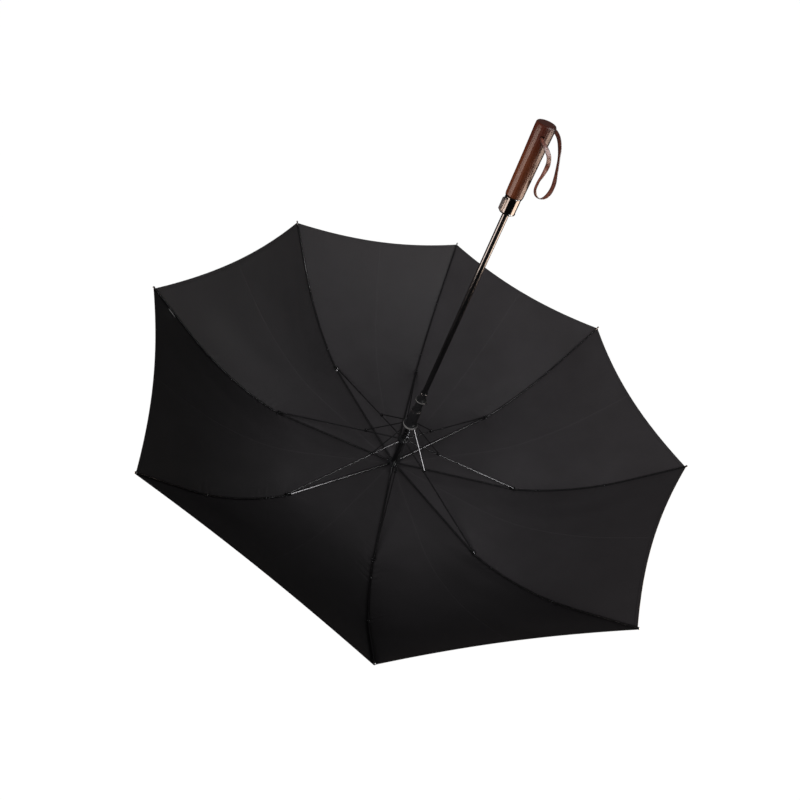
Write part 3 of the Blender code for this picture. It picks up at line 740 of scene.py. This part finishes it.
def care_label():
    """Small plain tape sewn into the seam beside rib 5."""
    rib, side = 4, 1
    azimuth = (rib + 0.5 * side) * STEP
    corners = []
    for r in range(6):
        line = []
        for c in range(4):
            s = RIB_LENGTH - LABEL_FROM_TIP + LABEL_LONG * r / 5
            v = -1 + (LABEL_GAP + LABEL_WIDE * c / 3) / (s * math.sin(HALF))
            lift = LABEL_LIFT + LABEL_CURL * (c / 3) ** 2
            normal = cloth_normal(s, v)
            inward = 1 if normal.z < 0 else -1
            line.append(spun(cloth_point(s, v) - lift * normal * inward, azimuth))
        corners.append(line)

    def build(bm):
        uv = bm.loops.layers.uv.new("UVMap")
        grids = []
        for lift in (0, LABEL_THICK):
            grids.append([[bm.verts.new(at + Vector((0, 0, lift))) for at in line]
                          for line in corners])
        for grid in grids:
            for a, b in zip(grid, grid[1:]):
                for k in range(3):
                    bm.faces.new((a[k], a[k + 1], b[k + 1], b[k]))
        low, high = grids
        rims = [(low[0], high[0]), (low[-1], high[-1]),
                ([line[0] for line in low], [line[0] for line in high]),
                ([line[-1] for line in low], [line[-1] for line in high])]
        for a, b in rims:
            for k in range(len(a) - 1):
                bm.faces.new((a[k], a[k + 1], b[k + 1], b[k]))
        for face in bm.faces:
            for loop in face.loops:
                loop[uv].uv = (loop.vert.co.x, loop.vert.co.y)
    made = piece("care_label", build, LABEL, "rib_5_outer", 60)
    fold_to_rib(made, rib, side, "outer")


care_label()


# ---- small fittings -------------------------------------------------------------------------
def across_rivet(bm, centre, azimuth, half, radius):
    """A rivet with two domed heads, lying across a rib's plane."""
    profile = [(0, -half - 0.0008), (radius * 0.6, -half - 0.0006), (radius, -half - 0.0001),
               (radius, -half), (radius * 0.55, -half), (radius * 0.55, half), (radius, half),
               (radius, half + 0.0001), (radius * 0.6, half + 0.0006), (0, half + 0.0008)]
    place = (Matrix.Translation(spun(centre, azimuth)) @ Matrix.Rotation(azimuth, 4, "Z")
             @ Matrix.Rotation(math.pi / 2, 4, "X"))
    add_turned(bm, profile, place, 12)


def rib_fittings():
    for rib in range(RIBS):
        number, azimuth = rib + 1, rib * STEP

        def elbow(bm):
            across_rivet(bm, STRETCHER_HINGE, azimuth, 0.0030, 0.0015)
            across_rivet(bm, ELBOW - 0.0030 * in_plane(INNER_SLOPE), azimuth, 0.0030, 0.0012)
        piece(f"elbow_rivets_{number}", elbow, RIVET, f"rib_{number}")

        def knuckle(bm):
            across_rivet(bm, LINK_FOOT, azimuth, 0.0023, 0.0012)
        piece(f"knuckle_rivet_{number}", knuckle, RIVET, f"stretcher_{number}")

        def ties(bm):
            for share in TIES:
                for turn in (-1, 0, 1):
                    s = INNER_LENGTH + share * (RIB_LENGTH - INNER_LENGTH) + turn * 0.0008
                    point, slope = rib_point(s)
                    centre = point - 0.0006 * upward(slope)
                    path = []
                    for k in range(16):
                        angle = 2 * math.pi * k / 16
                        path.append(spun(centre + Vector((0, 0.0023 * math.cos(angle), 0))
                                         + 0.0028 * math.sin(angle) * upward(slope), azimuth))
                    add_tube(bm, path, 0.00038, 6, closed=True)
        piece(f"thread_ties_{number}", ties, BLACK_THREAD, f"rib_{number}_outer")


rib_fittings()


def wire_ring(name, radius, height, body):
    """Soft wire that holds the tongues in their slots, with its twisted end."""
    def build(bm):
        path = [Vector((radius * math.cos(2 * math.pi * k / 64),
                        radius * math.sin(2 * math.pi * k / 64), height)) for k in range(64)]
        add_tube(bm, path, 0.00045, 8, closed=True)
        twist = []
        for k in range(22):
            out = spun(Vector((radius + 0.0008 + 0.0002 * k, 0, 0)), HALF)
            twist.append(out + Vector((0.0005 * math.cos(k * 1.3), 0.0005 * math.sin(k * 1.3),
                                       height)))
        add_tube(bm, twist, 0.00038, 6)
    piece(name, build, STEEL_WIRE, body)


wire_ring("crown_wire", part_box("crown")[1].x + 0.0004, CROWN_Z, "frame")
wire_ring("notch_wire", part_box("upper_notch")[1].x + 0.0004, NOTCH_HINGE.z, "notch")


def opening_spring():
    turns, wire, mean = 5.0, 0.0008, 0.0073
    low, high = SPRING_LOW + wire, SPRING_HIGH - wire

    def build(bm):
        steps = round(turns * 40)
        path = []
        for k in range(steps + 1):
            angle = 2 * math.pi * turns * k / steps
            path.append(Vector((mean * math.cos(angle), mean * math.sin(angle),
                                low + (high - low) * k / steps)))
        add_tube(bm, path, wire, 12)
    made = piece("opening_spring_wire", build, STEEL_WIRE, "notch", 60)
    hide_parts("opening_spring")
    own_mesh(made)


opening_spring()


def leaf_spring():
    """Bowed leaf behind the button."""
    low, high = (corner.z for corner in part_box("button_spring"))
    out = -Vector(JOINTS["button_press"]["axis"])
    side = Vector((-out.y, out.x, 0))
    foot_radius, bow, half, thickness = 0.0090, 0.0021, 0.0022, 0.0003

    def build(bm):
        rings = []
        for k in range(17):
            share = k / 16
            foot = (foot_radius + bow * math.sin(math.pi * share)) * out
            foot = foot + Vector((0, 0, low + (high - low) * share))
            rings.append([bm.verts.new(foot + across * side + thick * out) for across, thick in
                          ((-half, 0), (half, 0), (half, thickness), (-half, thickness))])
        for a, b in zip(rings, rings[1:]):
            for j in range(4):
                bm.faces.new((a[j], a[(j + 1) % 4], b[(j + 1) % 4], b[j]))
        bm.faces.new(rings[0])
        bm.faces.new(rings[-1])
    made = piece("button_leaf", build, STEEL_WIRE, "frame", 60)
    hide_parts("button_spring")
    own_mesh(made)


leaf_spring()


RUNNER_SHOULDER = 0.0036


def runner_trim():
    """Pale ring and bead pressed on the runner, and two darker beads on its sleeve."""
    base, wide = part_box("runner")[0].z + RUNNER_SHOULDER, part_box("runner")[1].x

    def build(bm):
        add_ring(bm, base, [(wide + 0.0001, -0.0024), (wide + 0.0004, -0.0016),
                            (wide + 0.0005, 0.0), (wide + 0.0004, 0.0016),
                            (wide + 0.0001, 0.0024), (wide - 0.0005, 0.0020),
                            (wide - 0.0005, -0.0020)])
        bead(bm, 0.0816, 0.0122, 0.0009)

    def bead(bm, height, radius, half):
        add_ring(bm, base + height, [(radius, -half), (radius + 0.0003, 0.0), (radius, half),
                                     (radius - 0.0006, 0.0004), (radius - 0.0006, -0.0004)])

    def build_dark(bm):
        bead(bm, 0.0490, 0.0112, 0.0006)
        bead(bm, 0.1044, 0.0080, 0.0006)
    piece("runner_rings", build, PALE_RING, "runner")
    piece("runner_beads", build_dark, STEEL_WIRE, "runner")


runner_trim()


def collar_trim():
    """Thin rolled beads at the collar's two ends."""
    low, high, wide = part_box("collar")[0].z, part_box("collar")[1].z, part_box("collar")[1].x

    def build(bm):
        for centre, radius in ((low + 0.0012, wide - 0.0005), (high - 0.0008, wide)):
            add_ring(bm, centre, [(radius, -0.0007), (radius + 0.0003, 0.0), (radius, 0.0007),
                                  (radius - 0.0005, 0.0004), (radius - 0.0005, -0.0004)])
    piece("collar_beads", build, CHROME, "frame")


collar_trim()


# ---- studio -------------------------------------------------------------------------------
def floor_material():
    """White paper floor. It lights and is reflected as a dimmer grey than it looks."""
    pale = Nodes("pale_floor", Roughness=0.9, Specular_IOR_Level=0.1)
    pale.shader.inputs["Base Color"].default_value = (0.025, 0.025, 0.025, 1)
    tree = pale.tree
    glow = pale.add("Emission", values=[("Color", (1, 1, 1, 1)), ("Strength", 0.985)])
    seen = pale.add("LightPath").outputs["Is Camera Ray"]
    both = pale.add("AddShader", [(0, pale.shader.outputs[0]), (1, glow.outputs[0])])
    mix = pale.add("MixShader", [(0, seen), (1, pale.shader.outputs[0]), (2, both.outputs[0])])
    tree.links.new(mix.outputs[0], tree.nodes["Material Output"].inputs["Surface"])
    return pale.material


def studio():
    floor_mesh = bpy.data.meshes.new("floor")
    floor_mesh.from_pydata([(-90, -90, 0), (90, -90, 0), (90, 90, 0), (-90, 90, 0)], [],
                           [(0, 1, 2, 3)])
    floor = bpy.data.objects.new("floor", floor_mesh)
    bpy.context.scene.collection.objects.link(floor)
    floor_mesh.materials.append(floor_material())

    world = bpy.data.worlds.new("studio")
    world.use_nodes = True
    bpy.context.scene.world = world
    tree = world.node_tree
    lighting, backdrop = tree.nodes["Background"], tree.nodes.new("ShaderNodeBackground")
    for background, strength in ((lighting, 0.08), (backdrop, 1.0)):
        background.inputs["Color"].default_value = (1, 1, 1, 1)
        background.inputs["Strength"].default_value = strength
    seen, mix = tree.nodes.new("ShaderNodeLightPath"), tree.nodes.new("ShaderNodeMixShader")
    tree.links.new(seen.outputs["Is Camera Ray"], mix.inputs[0])
    tree.links.new(lighting.outputs[0], mix.inputs[1])
    tree.links.new(backdrop.outputs[0], mix.inputs[2])
    tree.links.new(mix.outputs[0], tree.nodes["World Output"].inputs["Surface"])

    def area(name, place, aim, size, power, tint=(1, 1, 1), lights_cloth=True):
        data = bpy.data.lights.new(name, "AREA")
        data.color = tint
        data.shape = "RECTANGLE"
        data.size, data.size_y = size
        data.energy = power
        made = bpy.data.objects.new(name, data)
        bpy.context.scene.collection.objects.link(made)
        made.location = place
        made.visible_camera = False
        made.visible_diffuse = lights_cloth
        direction = Vector(aim) - Vector(place)
        made.rotation_euler = direction.to_track_quat("-Z", "Y").to_euler()
    area("low_left", (-1.05, -0.45, 0.16), (0, 0, 0.80), (0.60, 0.9), 19, (1.0, 0.82, 0.72))
    area("low_right", (1.09, -0.17, 0.16), (0, 0, 0.80), (0.90, 0.9), 33, (1.0, 0.76, 0.60),
         lights_cloth=False)
    # These two only show as glints on the rods that face them.
    for name, place in (("glint_front", (1.24, -1.05, 1.66)), ("glint_side", (1.88, -0.33, 1.30))):
        area(name, place, (0, 0, 0.20), (0.75, 0.75), 34, lights_cloth=False)

    sun = bpy.data.lights.new("key_sun", "SUN")
    sun.energy = 2.9
    sun.angle = math.radians(30)
    key = bpy.data.objects.new("key_sun", sun)
    bpy.context.scene.collection.objects.link(key)
    key.visible_glossy = False
    key.rotation_euler = Vector((0.374, 0.587, -0.717)).to_track_quat("-Z", "Y").to_euler()
    bpy.context.scene.view_settings.view_transform = "Standard"


studio()
